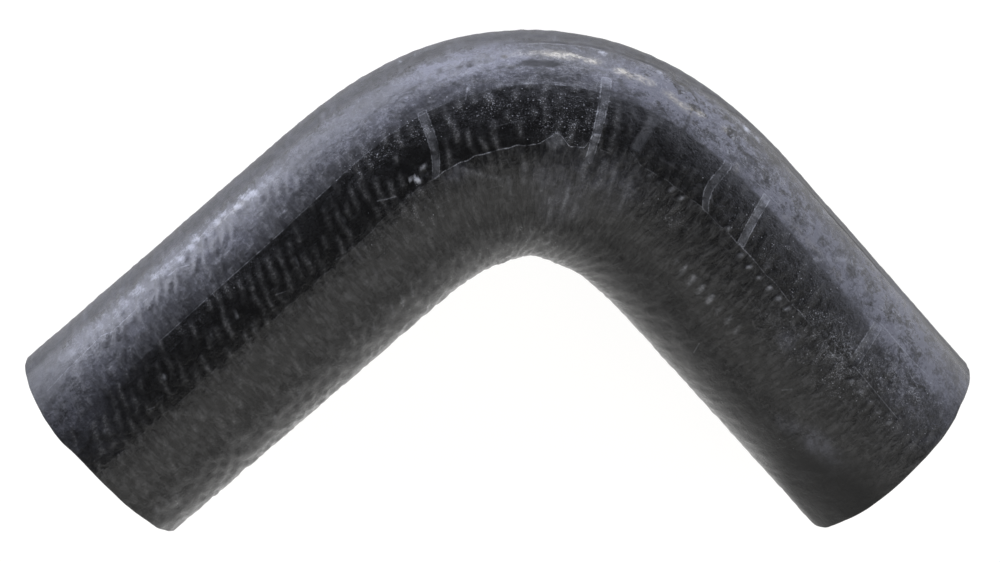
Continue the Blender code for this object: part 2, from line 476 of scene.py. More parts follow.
def patches(distance, angle, places):
    """The sum of some soft clouds."""
    total = np.zeros_like(distance)
    for middle, half_length, half_width, strength in places:
        total += strength * dome(distance, angle, middle, half_length, half_width)
    return total


def trail(distance, angle, points, half_width):
    """A soft-edged line through some places, 1 along its middle."""
    nearest = np.inf
    around = arc_of(angle)
    for (start, start_angle), (end, end_angle) in zip(points, points[1:]):
        foot = arc_of(start_angle)
        rise = arc_of(end_angle - start_angle)
        run = end - start
        share = (((distance - start) * run + (around - foot) * rise) / (run**2 + rise**2)).clip(0, 1)
        away = np.hypot(distance - start - share * run, around - foot - share * rise)
        nearest = np.minimum(nearest, away)
    return soft_step(nearest, half_width, 0)


def trails(distance, angle, lines):
    """The strongest of some lines at each place."""
    found = np.zeros_like(distance)
    for points, half_width, strength in lines:
        found = np.maximum(found, strength * trail(distance, angle, points, half_width))
    return found


def tape_marks(distance, angle):
    """How far inside a tape mark each place is, in mm, how pale that mark's film is, and how pale the painted
    highlight along its edge is.
    """
    inside = np.full(distance.shape, FAR_OUTSIDE)
    film = np.zeros_like(distance)
    edge = np.zeros_like(distance)
    for points, width, film_paleness, edge_highlight_paleness in TAPE_MARKS:
        angles = [point[0] for point in points]
        curve = np.polyfit(angles, [point[1] for point in points], len(points) - 1)
        across = width / 2 - np.abs(distance - np.polyval(curve, angle.clip(min(angles), max(angles))))
        depth = np.minimum(across, arc_of(np.minimum(angle - min(angles), max(angles) - angle)))
        film = np.where(depth > inside, film_paleness, film)
        edge = np.where(depth > inside, edge_highlight_paleness, edge)
        inside = np.maximum(inside, depth)
    return inside, film, edge


def highlight_rope(distance, angle):
    """The strands along the highlight of the long leg, one for each ripple, laid like a rope's: each a slight
    ridge, painted pale as a highlight.
    """
    chance = np.random.default_rng(61)
    found = np.zeros_like(distance)
    from_path = arc_of(angle - path_of(ROPE_PATH, distance))
    for middle in np.arange(ROPE_PATH[0][0], ROPE_PATH[-1][0], RIPPLE_PITCH):
        along = distance - middle - chance.uniform(-0.6, 0.6)
        around = from_path - chance.uniform(-0.7, 0.7)
        across = along + 0.5 * around
        away = (across / chance.uniform(0.85, 1.25)) ** 2 + (around / chance.uniform(1.2, 2.0)) ** 2
        found = np.maximum(found, chance.uniform(0.35, 1.0) * (1 - away).clip(0, 1))
    ridge = soft_step(np.abs(from_path), 1.9, 0.2)
    ridge = ridge * (0.12 + 0.22 * soft_noise(distance, arc_of(angle), 3.1, 1.6, 62)).clip(0, 1)
    return np.maximum(found, ridge) * path_of(ROPE_CLARITY, distance)


def band_edges(distance):
    """The angles of the two creases. The lower one is a little ragged."""
    ragged = 0.5 * soft_noise(distance, distance * 0, 1.7, 50, 71)
    return path_of(LOWER_CREASE, distance) + ragged, path_of(UPPER_CREASE, distance)


def band_depth(distance, angle):
    """How far inside the black band a place is, in mm, and below 0 outside it."""
    lower, upper = band_edges(distance)
    return arc_of((upper - lower) / 2 - np.abs(turned_from(angle, (lower + upper) / 2)))


def flattening(distance, angle):
    lower, upper = band_edges(distance)
    half = np.radians(upper - lower) / 2
    across = np.radians(turned_from(angle, (lower + upper) / 2)) / half
    sagitta = OUTER_RADIUS * (1 - np.cos(half))
    return -BAND_FLATNESS * sagitta * (1 - across**2).clip(0, 1)


def ripple(distance, angle):
    """The ripple's height, and how near a crest each place is, both from 0 to 1. The crests are dashed."""
    around = arc_of(angle)
    slant = path_of(RIPPLE_SLANT, distance) * OUTER_RADIUS * np.sin(np.radians(angle))
    along = distance - slant + layered_noise(distance, around, RIPPLE_WANDER)
    wave = 0.5 + 0.5 * np.cos(2 * math.pi * along / RIPPLE_PITCH)
    dashes = (0.5 + 1.6 * soft_noise(along, around, RIPPLE_PITCH, 2.1, 14)).clip(0, 1)
    area = (0.85 + 0.4 * soft_noise(distance, around, 12, 9, 12)).clip(0.3, 1)
    area = area * path_of(RIPPLE_CLARITY, distance)
    return wave * dashes * area, wave**2 * dashes * area


def inner_side(angle):
    """1 on the side that faces the inside of the bend, 0 on the others."""
    return soft_step(np.abs(turned_from(angle, -90)), 62, 35)


def cobbles(distance, angle):
    """The knobbly skin on the inner side of the bend, from -1 to 1."""
    around = arc_of(angle)
    clarity = path_of([(0, 1.0), (110, 1.0), (136, 0.45), (215, 0.3)], distance)
    return inner_side(angle) * clarity * soft_noise(distance - 0.35 * around, around, 1.2, 1.9, 16)


def lumps(distance, angle):
    """The height of the lumps and pits, and how pale they are."""
    height = np.zeros_like(distance)
    pale = np.zeros_like(distance)
    for (first, middle), count, pitch, half_length, half_width, slant, high, paleness in LUMP_ROWS:
        for number in range(count):
            lump = dome(distance, angle, (first + number * pitch, middle), half_length, half_width, slant)
            height += high * lump
            pale = np.maximum(pale, paleness * lump)
    for middle, half_length, half_width, depth in PITS:
        height -= depth * dome(distance, angle, middle, half_length, half_width)
    return height, pale


def inner_pinch(distance, angle):
    """The inside of the bend is drawn in at its tightest place and is full on both sides of it."""
    tightest = 112
    inside = soft_step(np.abs(turned_from(angle, -90)), 75, 10)
    along = distance - tightest
    full = 0.30 * np.exp(-((np.abs(along) - 15) / 8) ** 2)
    drawn_in = 0.45 * np.exp(-((along / 6) ** 2))
    return inside * (full - drawn_in)


def ripple_relief(distance, angle):
    height = RIPPLE_HEIGHT * (1 + patches(distance, angle, STRONG_RIPPLE))
    return height * (ripple(distance, angle)[0] - RIPPLE_MIDDLE)


def tape_relief(distance, angle):
    """Each tape mark is a shallow dent with a ridge along its edge."""
    inside = tape_marks(distance, angle)[0]
    return TAPE_RIDGE * np.exp(-((inside / 0.3) ** 2)) - TAPE_DENT * soft_step(inside, 0, 0.5)


def groove_relief(distance, angle):
    from_groove = arc_of(angle - path_of(BLOOM_EDGE, distance))
    return -GROOVE_DEPTH * np.exp(-((from_groove / 0.5) ** 2)) * soft_step(distance, *GROOVE_START)


def skin_height(distance, angle):
    """How far the skin stands out from the round section, in mm."""
    around = arc_of(angle)
    relief = MEAN_RELIEF + layered_noise(distance, around, SWELLS) + layered_noise(distance, around, PEBBLES)
    relief = relief + ripple_relief(distance, angle) + COBBLE_HEIGHT * cobbles(distance, angle)
    relief = relief + tape_relief(distance, angle) + groove_relief(distance, angle)
    relief = relief + flattening(distance, angle) + lumps(distance, angle)[0]
    relief = relief + ROPE_HEIGHT * highlight_rope(distance, angle)
    spare = (HIGHEST_RELIEF - relief) / RELIEF_SOFTNESS
    relief = HIGHEST_RELIEF - RELIEF_SOFTNESS * np.logaddexp(0, spare)
    return relief + inner_pinch(distance, angle)


# The hose's mesh


def crowded(count, crowding):
    """Shares from 0 to just under 1, closer together near both."""
    share = np.arange(count) / count
    return share - crowding * np.sin(2 * math.pi * share) / (2 * math.pi)


def column_angles(distance):
    """The angles of a row's columns: close together at the two creases, which have a column each."""
    lower, upper = (edge[..., None] for edge in band_edges(distance))
    band = lower + (upper - lower) * crowded(BAND_COLUMNS, BAND_CROWDING)
    rest = upper + (lower + 360 - upper) * crowded(OTHER_COLUMNS, OTHER_CROWDING)
    return np.concatenate([band, rest], axis=-1)


def cut_place(way, angle, radius, line):
    """Where the leaning, slightly uneven cut of an end lies along the hose. The way is -1 at the long end."""
    if way < 0:
        end, lean, shape = line.start, LONG_CUT_LEAN, LONG_CUT_SHAPE
    else:
        end, lean, shape = line.end, SHORT_CUT_LEAN, SHORT_CUT_SHAPE
    around = arc_of(angle)
    shortfall = path_of(shape, turned_from(angle, 0))
    shortfall = shortfall + CUT_ROUGHNESS * (1 + soft_noise(around * 0, around, 50, 3, 33 + way))
    return end - way * (np.sin(np.radians(angle)) * radius * math.tan(lean) + shortfall)


def skin_rows(line):
    """The outer skin: distance, angle and radius of each vertex, one row for each ring."""
    lean_reach = 45  # how far in from each end the rings turn from the cut's lean to square
    distance = np.linspace(line.start, line.end, SKIN_ROWS)[:, None]
    angle = column_angles(distance[:, 0])
    first = cut_place(-1, angle, OUTER_RADIUS, line) + RIM_ROUNDING - line.start
    last = cut_place(1, angle, OUTER_RADIUS, line) - RIM_ROUNDING - line.end
    near_first = soft_step(distance, line.start + lean_reach, line.start)
    near_last = soft_step(distance, line.end - lean_reach, line.end)
    distance = distance + first * near_first + last * near_last
    return distance, angle, OUTER_RADIUS + skin_height(distance, angle)


def rim_rows(way, skin, line):
    """The rim of one end, from the skin to the bore, with both its edges rounded."""
    row = 0 if way < 0 else -1
    angle, outer = skin[1][row], skin[2][row]
    turns = np.linspace(0, math.pi / 2, ROUNDING_STEPS + 1)[1:]
    depths = [RIM_ROUNDING * (1 - math.sin(turn)) for turn in turns]
    radii = [outer - RIM_ROUNDING * (1 - math.cos(turn)) for turn in turns]
    for share in np.linspace(0, 1, RIM_STEPS + 1)[1:]:
        depths.append(0)
        radii.append((outer - RIM_ROUNDING) * (1 - share) + (BORE_RADIUS + RIM_ROUNDING) * share)
    for turn in turns:
        depths.append(RIM_ROUNDING * (1 - math.cos(turn)))
        radii.append(np.full_like(outer, BORE_RADIUS + RIM_ROUNDING * (1 - math.sin(turn))))
    radius = np.array(radii)
    distance = cut_place(way, angle, radius, line) - way * np.array(depths)[:, None]
    return distance, np.broadcast_to(angle, radius.shape), radius


def bore_rows(start, end):
    """The bore, from the inner edge of one rim to that of the other."""
    share = np.linspace(0, 1, BORE_ROWS + 2)[1:-1, None]
    distance = start[0][-1] * (1 - share) + end[0][-1] * share
    angle = start[1][-1] * (1 - share) + end[1][-1] * share
    radius = BORE_RADIUS + 0.05 * (1 + soft_noise(distance, arc_of(angle), 12, 17, 41))
    return distance, angle, radius


def hose_rows(line):
    """All rings in one closed loop: along the skin, over a rim, back through the bore, over the other."""
    skin = skin_rows(line)
    short_rim = rim_rows(1, skin, line)
    long_rim = rim_rows(-1, skin, line)
    bore = bore_rows(short_rim, long_rim)
    parts = [skin, short_rim, bore, [part[::-1] for part in long_rim]]
    rows = [np.concatenate([part[number] for part in parts]) for number in range(3)]
    kinds = np.repeat([SKIN, RIM, BORE, RIM], [len(part[0]) for part in parts])
    return *rows, np.broadcast_to(kinds[:, None], rows[0].shape)


def loop_faces(rows, columns):
    """Quads between the rings of a grid that closes on itself both ways."""
    row, column = np.meshgrid(np.arange(rows), np.arange(columns), indexing="ij")
    next_row = (row + 1) % rows
    next_column = (column + 1) % columns
    corners = [row * columns + column, next_row * columns + column]
    corners += [next_row * columns + next_column, row * columns + next_column]
    return np.stack(corners, axis=-1).reshape(-1, 4)


def mesh_from_grid(name, points, faces):
    mesh = bpy.data.meshes.new(name)
    mesh.vertices.add(len(points))
    mesh.vertices.foreach_set("co", points.astype(np.float32).ravel())
    mesh.loops.add(faces.size)
    mesh.loops.foreach_set("vertex_index", faces.astype(np.int32).ravel())
    mesh.polygons.add(len(faces))
    mesh.polygons.foreach_set("loop_start", np.arange(0, faces.size, 4, dtype=np.int32))
    mesh.update(calc_edges=True)
    mesh.validate()
    mesh.shade_smooth()
    return mesh


def added(name, data):
    """A new object of the scene, with this mesh, light or camera."""
    thing = bpy.data.objects.new(name, data)
    bpy.context.scene.collection.objects.link(thing)
    return thing


def note(mesh, name, values):
    """Keeps a value for each vertex, or a vector, for the material to read."""
    vector = values.ndim == 3
    kept = mesh.attributes.new(name, "FLOAT_VECTOR" if vector else "FLOAT", "POINT")
    kept.data.foreach_set("vector" if vector else "value", values.astype(np.float32).ravel())


def bloom_and_sheen_on(distance, angle):
    """How thick the bluish bloom lies: in clouds, thinly from the band up, and weaker past the groove. The
    thin layer from the band up is partly a painted sheen of the cool window light.
    """
    above_band = arc_of(angle - band_edges(distance)[1])
    below_groove = arc_of(path_of(BLOOM_EDGE, distance) - angle)
    blur = path_of(BLOOM_AND_SHEEN_BLUR, distance)
    past_groove = 0.35 * soft_step(angle, 150, 80)
    upper_side = soft_step(above_band, -blur, 0.3 + 0.5 * blur)
    upper_side = upper_side * (past_groove + (1 - past_groove) * soft_step(below_groove, -0.4, 0.1))
    thicker = path_of(BLOOM_AND_SHEEN_THICKENING, distance) * soft_step(above_band, 0, 6)
    thickness = path_of(BLOOM_AND_SHEEN_THICKNESS, distance) + thicker
    kept_off = 0.85 * soft_step(band_depth(distance, angle), -0.3, 0.3) * soft_step(distance, 190, 168)
    kept_off = kept_off * soft_step(distance, 4, 26)
    return patches(distance, angle, BLOOM_CLOUDS) * (1 - kept_off) + thickness * upper_side


def film_and_inner_shade_on(distance, angle):
    """How much grey film there is, against its usual amount. The inner side has it mostly on its knobs, and
    only half as much over all, which paints the shade between the legs.
    """
    return (1 - 0.5 * inner_side(angle)) * (1 + 1.5 * cobbles(distance, angle)).clip(0, 2.4)


def dull_side(distance, angle):
    """1 where the skin is dull, on the outer side past the groove that ends the bloom."""
    past_groove = arc_of(angle - path_of(BLOOM_EDGE, distance))
    return soft_step(past_groove, 0, 2.5) * soft_step(angle, 178, 140)


def crease_highlights(distance, angle):
    """How pale the painted highlight line along the nearer of the two creases is."""
    lower, upper = band_edges(distance)
    lower_is_nearer = np.abs(angle - lower) < np.abs(angle - upper)
    return np.where(lower_is_nearer, path_of(LOWER_HIGHLIGHT_LINE, distance), path_of(UPPER_HIGHLIGHT_LINE, distance))


def soot_and_shade_on(distance, angle):
    """How sooty the skin is: in clouds, in a few dark lines, and along the groove that ends the bloom. The
    two clouds at the short end's inner side are painted shade.
    """
    groove = soft_step(np.abs(arc_of(angle - path_of(BLOOM_EDGE, distance))), 0.7, 0.1)
    groove = groove * (0.7 + 0.6 * soft_noise(distance, arc_of(angle), 9, 30, 51)).clip(0, 1)
    lines = np.maximum(trails(distance, angle, DARK_LINES), groove * soft_step(distance, *GROOVE_START))
    return np.maximum(patches(distance, angle, SOOT_AND_SHADE), lines).clip(0, 1)


def note_marks(mesh, distance, angle, kind):
    """Keeps what the material needs to know of the marks. Only the skin has them."""
    skin = kind == SKIN
    inside_tape, tape_film, tape_edge_highlight = tape_marks(distance, angle)
    pale = np.maximum(lumps(distance, angle)[1], trails(distance, angle, WISPS))
    # The rope's strands are painted pale as a highlight
    pale = np.maximum(pale, 0.75 * highlight_rope(distance, angle))
    note(mesh, "rim", kind == RIM)
    note(mesh, "bore", kind == BORE)
    note(mesh, "band", np.where(skin, band_depth(distance, angle), FAR_OUTSIDE))
    note(mesh, "tape", np.where(skin, inside_tape, FAR_OUTSIDE))
    marks = {
        "tape_film": tape_film,
        "tape_edge_highlight": tape_edge_highlight,
        "pale": pale,
        "dull": dull_side(distance, angle),
        "crease_highlight": crease_highlights(distance, angle),
        "film": film_and_inner_shade_on(distance, angle),
        "cream_highlight": trails(distance, angle, CREAM_HIGHLIGHT_STREAKS),
        "bloom_and_sheen": bloom_and_sheen_on(distance, angle),
        "dust": patches(distance, angle, DUST_PATCHES).clip(0, 1),
        "scuff": patches(distance, angle, SCUFFS).clip(0, 1),
        "soot_and_shade": soot_and_shade_on(distance, angle),
        "crest": ripple(distance, angle)[1],
    }
    for name, values in marks.items():
        note(mesh, name, values * skin)


def crossing_of_the_legs():
    """Where the middles of the two legs cross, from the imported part's mount at its long end, in metres."""
    mounts = {mount["name"]: mount for mount in frame["record"]["mounts"]}
    rim = mounts["long_end_rim"]["pos_m"]
    return np.array([rim[0] + LONG_LEG * MM, rim[1], CAD_BOX[0].z + OUTER_RADIUS * MM])


def build_hose():
    line = Centreline()
    distance, angle, radius, kind = hose_rows(line)
    x, y, heading = line.at(distance)
    turned = np.radians(angle)
    outward = radius * np.sin(turned)
    upward = radius * np.cos(turned)
    points = np.stack([x - np.sin(heading) * outward, y + np.cos(heading) * outward, upward], axis=-1)
    points = points.reshape(-1, 3) * MM + crossing_of_the_legs()
    mesh = mesh_from_grid("hose", points, loop_faces(*distance.shape))
    note(mesh, "unrolled", np.stack([distance, outward, upward], axis=-1))
    note_marks(mesh, distance, turned_from(angle, 0), kind)
    return added("hose", mesh)


# The rubber's material


class Graph:
    """Adds nodes to a material and links them up."""

    def __init__(self, tree):
        self.tree = tree
        self.count = 0

    def add(self, kind, inputs=None, **settings):
        node = self.tree.nodes.new(kind)
        node.location = (self.count % 12 * 200, -(self.count // 12) * 260)
        self.count += 1
        for name, value in settings.items():
            setattr(node, name, value)
        for name, value in (inputs or {}).items():
            if isinstance(value, bpy.types.NodeSocket):
                self.tree.links.new(value, node.inputs[name])
            else:
                node.inputs[name].default_value = value
        return node

    def math(self, operation, first, second=0.0):
        return self.add("ShaderNodeMath", {0: first, 1: second}, operation=operation).outputs[0]

    def vector(self, operation, first, second=(0, 0, 0), output="Vector"):
        return self.add("ShaderNodeVectorMath", {0: first, 1: second}, operation=operation).outputs[output]

    def total(self, *values):
        found = values[0]
        for value in values[1:]:
            found = self.math("ADD", found, value)
        return found

    def product(self, *values):
        found = values[0]
        for value in values[1:]:
            found = self.math("MULTIPLY", found, value)
        return found

    def fade(self, value, start, end, low=0.0, high=1.0):
        """Goes smoothly from low to high as the value goes from start to end."""
        inputs = {0: value, 1: start, 2: end, 3: low, 4: high}
        return self.add("ShaderNodeMapRange", inputs, interpolation_type="SMOOTHSTEP").outputs[0]

    def spread(self, share, low, high):
        """Goes smoothly from low to high as a share goes from 0 to 1."""
        return self.fade(share, 0, 1, low, high)

    def thread(self, field, half_width):
        """A thin line wherever a noise field passes through its middle value."""
        return self.fade(self.math("ABSOLUTE", self.math("SUBTRACT", field, 0.5)), half_width, 0.0)

    def kept(self, name, output="Fac"):
        """A value that the mesh keeps for each vertex."""
        return self.add("ShaderNodeAttribute", attribute_name=name).outputs[output]

    def noise(self, place, scale, detail, roughness, distortion=0.0):
        """Fractal noise. The scale is in blobs for each mm."""
        inputs = {"Vector": place, "Scale": scale, "Detail": detail, "Roughness": roughness}
        inputs["Distortion"] = distortion
        return self.add("ShaderNodeTexNoise", inputs).outputs[0]

    def stretched(self, place, scale, turn=(0, 0, 0)):
        """The same place in other units for each direction, for long or slanting marks."""
        inputs = {"Vector": place, "Scale": scale, "Rotation": turn}
        return self.add("ShaderNodeMapping", inputs).outputs[0]

    def blend(self, share, first, second):
        return self.add("ShaderNodeMix", {0: share, 6: first, 7: second}, data_type="RGBA").outputs[2]


class Textures:
    """The random patterns that the skin's layers share, from coarse to fine."""

    def __init__(self, graph):
        self.place = graph.kept("unrolled", "Vector")
        self.cloud = graph.fade(graph.noise(self.place, 0.13, 5.0, 0.6, 0.5), 0.34, 0.66)
        self.patchy = graph.fade(graph.noise(self.place, 0.42, 5.0, 0.68, 0.4), 0.34, 0.66)
        self.fine = graph.noise(self.place, 1.7, 4.0, 0.72)
        self.grainy = graph.fade(self.fine, 0.33, 0.67)
        fibres = graph.noise(graph.stretched(self.place, (1.1, 0.34, 0.34), (0, 0, 0.1)), 1.0, 3.0, 0.62, 0.5)
        self.fibres = graph.fade(fibres, 0.36, 0.66)
        self.crumbs = graph.fade(graph.noise(self.place, 3.8, 2.0, 0.6), 0.56, 0.70)
        self.swirl = graph.noise(self.place, 0.5, 4.0, 0.6, 1.6)
        self.curls = graph.fade(graph.noise(self.place, 0.7, 2.5, 0.5, 2.0), 0.36, 0.64)
        self.blots = graph.fade(graph.noise(self.place, 0.26, 2.5, 0.5, 1.0), 0.36, 0.62)


def speck_share(graph, textures):
    """Fine specks and crumbs of dust: as many as the dust value says, and most on the ripple's crests."""
    dust = graph.kept("dust")
    cells = graph.add("ShaderNodeTexVoronoi", {"Vector": textures.place, "Scale": 2.5, "Randomness": 1.0})
    chance = graph.add("ShaderNodeSeparateColor", {0: cells.outputs["Color"]})
    there = graph.math("LESS_THAN", chance.outputs[0], graph.math("MULTIPLY", dust, 0.2))
    bright = graph.fade(chance.outputs[1], 0.3, 1.0, 0.1, 1.0)
    dots = graph.product(graph.fade(cells.outputs["Distance"], 0.36, 0.14), there, bright, 0.7)
    clusters = graph.product(textures.patchy, textures.patchy, textures.cloud)
    most = graph.total(graph.product(graph.kept("crest"), textures.patchy), clusters, 0.06)
    return graph.math("ADD", dots, graph.product(textures.crumbs, most, dust, 1.2))


def scuff_share(graph, textures):
    """Thin curling scribbles and pale blotches on scuffed skin, and a few faint scribbles elsewhere."""
    scuffed = graph.kept("scuff")
    line = graph.thread(textures.swirl, 0.04)
    amount = graph.math("ADD", graph.product(scuffed, 0.8), 0.02)
    lines = graph.product(line, textures.grainy, textures.patchy, amount)
    blotches = graph.product(graph.fade(textures.swirl, 0.52, 0.68), textures.curls, scuffed, 0.26)
    return graph.math("ADD", lines, blotches)


def long_scratches(graph, textures):
    """Hairline scratches along the hose, broken into short lengths."""
    field = graph.noise(graph.stretched(textures.place, (0.035, 1.1, 1.1), (0, 0, 0.12)), 1.0, 2.0, 0.5)
    return graph.product(graph.thread(field, 0.010), textures.cloud, textures.grainy, 0.10)


def named_scratches(graph, place):
    """The scratches that are listed, each a chain of straight lengths with soft edges."""
    axes = graph.add("ShaderNodeSeparateXYZ", {0: place})
    turned = graph.math("ARCTAN2", axes.outputs[1], axes.outputs[2])
    around = graph.math("MULTIPLY", turned, OUTER_RADIUS)
    flat = graph.add("ShaderNodeCombineXYZ", {0: axes.outputs[0], 1: around}).outputs[0]
    found = 0.0
    for points, half_width, paleness in SCRATCHES:
        flat_points = [Vector((point[0], arc_of(point[1]), 0)) for point in points]
        for start, end in zip(flat_points, flat_points[1:]):
            run = end - start
            from_start = graph.vector("SUBTRACT", flat, start)
            share = graph.vector("DOT_PRODUCT", from_start, run / run.length_squared, "Value")
            share = graph.add("ShaderNodeClamp", {0: share}).outputs[0]
            along = graph.add("ShaderNodeVectorMath", {0: run, 3: share}, operation="SCALE").outputs[0]
            away = graph.vector("LENGTH", graph.vector("SUBTRACT", from_start, along), output="Value")
            line = graph.fade(away, half_width * 1.6, half_width * 0.3, 0.0, paleness)
            found = graph.math("MAXIMUM", found, line)
    return found


def tape_share(graph, textures):
    """The tape marks: a thin blotchy film, and a pale, ragged painted highlight along the edge."""
    ragged = graph.product(graph.math("SUBTRACT", textures.fine, 0.5), 0.6)
    inside = graph.math("ADD", graph.kept("tape"), ragged)
    film = graph.product(graph.fade(inside, 0.0, 0.3), graph.spread(textures.patchy, 0.3, 1.0))
    film = graph.product(film, graph.kept("tape_film"))
    # The pale edge is a painted highlight along the tape's ridge
    edge = graph.product(graph.fade(graph.math("ABSOLUTE", inside), 0.20, 0.0), graph.kept("tape_edge_highlight"))
    edge = graph.product(edge, graph.spread(textures.patchy, 0.15, 1.4))
    return graph.math("MAXIMUM", film, edge)


def grey_share(graph, textures):
    """Grey dust: on the crests of the ripple, and as a thin streaky film outside the black band."""
    outside = graph.fade(graph.kept("band"), 0.12, -0.12)
    # On the inner side the film is thinner: painted shade between the legs
    film = graph.product(outside, graph.kept("film"), graph.spread(textures.fibres, 0.0, 0.22))
    film = graph.product(film, graph.spread(textures.patchy, 0.45, 1.3))
    crest = graph.product(graph.kept("crest"), graph.spread(textures.grainy, 0.35, 0.95))
    crest = graph.product(crest, graph.spread(textures.patchy, 0.3, 0.95), graph.spread(outside, 1.0, 0.45))
    grit = graph.product(textures.grainy, graph.spread(textures.patchy, 0.0, 0.07))
    return graph.total(film, crest, grit)


def bloom_and_sheen_share(graph, textures):
    """The bluish bloom and painted sheen, in soft blotches where the skin is sound and in strong ones where
    it is scuffed.
    """
    contrast = graph.spread(graph.kept("scuff"), 1.7, 3.4)
    coarse = graph.product(textures.blots, 0.45)
    finer = graph.product(textures.curls, 0.35)
    mixed = graph.total(coarse, finer, graph.product(textures.patchy, 0.2))
    blotches = graph.product(graph.math("SUBTRACT", mixed, 0.5), contrast)
    blotches = graph.math("MAXIMUM", graph.math("ADD", blotches, 1.0), 0.0)
    clouds = graph.spread(textures.cloud, 0.65, 1.2)
    strokes = graph.spread(textures.fibres, 0.85, 1.15)
    speckled = graph.spread(textures.grainy, 0.85, 1.1)
    return graph.product(graph.kept("bloom_and_sheen"), blotches, clouds, strokes, speckled)


def chalk_and_highlight_share(graph, textures):
    """All the pale marks together, with the painted highlights along the creases, the tape marks' edges and
    the rope's strands.
    """
    # The painted highlight lines along the creases
    crease_highlight = graph.fade(graph.math("ABSOLUTE", graph.kept("band")), 0.15, 0.04)
    broken = graph.product(graph.spread(textures.patchy, 0.1, 1.4), graph.spread(textures.grainy, 0.4, 1.2))
    crease_highlight = graph.product(crease_highlight, graph.kept("crease_highlight"), broken)
    marks = graph.product(graph.kept("pale"), graph.spread(textures.grainy, 0.7, 1.1))
    marks = graph.product(marks, graph.spread(textures.patchy, 0.45, 1.3))
    lines = graph.product(named_scratches(graph, textures.place), graph.spread(textures.grainy, 0.35, 1.0))
    worn = graph.total(*[share(graph, textures) for share in (scuff_share, long_scratches, speck_share)])
    return graph.total(crease_highlight, marks, lines, worn, tape_share(graph, textures))


def skin_layers(graph, textures):
    """How much grey dust, bloom and painted sheen, painted cream highlight, and chalk and painted highlights
    there is. Soot and painted shade hide most of all but the cream.
    """
    # Soot, and painted shade at the short end's inner side, hide the pale layers
    clear_of_soot_and_shade = graph.spread(graph.kept("soot_and_shade"), 1.0, 0.1)
    grey = graph.product(grey_share(graph, textures), clear_of_soot_and_shade)
    bloom_and_sheen = graph.product(bloom_and_sheen_share(graph, textures), clear_of_soot_and_shade)
    chalk_and_highlight = graph.product(chalk_and_highlight_share(graph, textures), clear_of_soot_and_shade)
    # The warm cream streaks are a painted highlight
    cream_highlight = graph.product(graph.kept("cream_highlight"), textures.patchy, graph.spread(textures.grainy, 0.3, 1.0))
    return grey, bloom_and_sheen, cream_highlight, chalk_and_highlight


def skin_roughness(graph, textures, grey, bloom_and_sheen, chalk_and_highlight):
    rough = graph.fade(textures.fine, 0.3, 0.7, 0.13, 0.22)
    for layer, rougher in ((grey, 0.15), (bloom_and_sheen, 0.12), (chalk_and_highlight, 0.3)):
        rough = graph.total(rough, graph.product(layer, rougher))
    for name, rougher in (("rim", 0.22), ("bore", 0.12), ("soot_and_shade", 0.4), ("dull", 0.3)):
        rough = graph.total(rough, graph.product(graph.kept(name), rougher))
    return rough


def skin_bump(graph, textures):
    """The finest unevenness, in mm."""
    heights = ((textures.fine, 0.07), (textures.patchy, 0.05), (textures.fibres, 0.02))
    raised = graph.total(*[graph.product(texture, height) for texture, height in heights])
    return graph.add("ShaderNodeBump", {"Height": raised, "Strength": 1.0, "Distance": MM}).outputs[0]


def rubber():
    material = bpy.data.materials.new("black_rubber")
    material.use_nodes = True
    graph = Graph(material.node_tree)
    textures = Textures(graph)
    grey, bloom_and_sheen, cream_highlight, chalk_and_highlight = skin_layers(graph, textures)
    # Over the black rubber: grey dust, bloom with painted sheen, the painted cream highlight, and chalk with
    # painted highlights
    colour = graph.blend(grey, RUBBER_BLACK, GREY_DUST)
    colour = graph.blend(bloom_and_sheen, colour, BLUE_BLOOM_AND_SHEEN)
    colour = graph.blend(cream_highlight, colour, CREAM_HIGHLIGHT)
    colour = graph.blend(chalk_and_highlight, colour, CHALK_AND_HIGHLIGHT)
    rough = skin_roughness(graph, textures, grey, bloom_and_sheen, chalk_and_highlight)
    shader = material.node_tree.nodes["Principled BSDF"]
    shader.inputs["IOR"].default_value = RUBBER_IOR
    graph.tree.links.new(colour, shader.inputs["Base Color"])
    graph.tree.links.new(rough, shader.inputs["Roughness"])
    graph.tree.links.new(skin_bump(graph, textures), shader.inputs["Normal"])
    return material


# Light, floor and camera


def plan_heading(heading, height=0.0):
    """A direction at this heading, in degrees clockwise from picture-up, and this height in degrees."""
    turned = PICTURE_UP - math.radians(heading)
    raised = math.radians(height)
    level = math.cos(raised)
    return Vector((math.cos(turned) * level, math.sin(turned) * level, math.sin(raised)))


def panel(name, middle, across, facing, size, brightness, tint):
    """A soft rectangular light. A white sheet in full view of one of brightness 1 looks white."""
    lamp = bpy.data.lights.new(name, "AREA")
    lamp.shape = "RECTANGLE"
    lamp.size, lamp.size_y = size
    lamp.energy = math.pi * lamp.size * lamp.size_y * brightness
    lamp.color = tint
    light = added(name, lamp)
    back = -facing.normalized()
    turned = Matrix((across, back.cross(across), back)).transposed().to_4x4()
    light.matrix_world = Matrix.Translation(middle) @ turned
    light.visible_camera = False


def softbox(name, heading, lowest, highest, half_width, brightness, tint, reach=0.75):
    """A panel that fills these angles, as seen from the hose."""
    towards = plan_heading(heading, (lowest + highest) / 2)
    width = 2 * reach * math.tan(math.radians(half_width))
    height = 2 * reach * math.tan(math.radians((highest - lowest) / 2))
    panel(name, towards * reach, plan_heading(heading - 90), -towards, (width, height), brightness, tint)


def low_strip(name, towards, reach, width, brightness, tint):
    """A long low panel that stands on the floor and gives the bright line along the outer side of a leg."""
    height = 0.05
    towards = towards.normalized()
    across = Vector((towards.y, -towards.x, 0))
    middle = towards * reach + Vector((0, 0, height / 2))
    panel(name, middle, across, -towards, (width, height), brightness, tint)


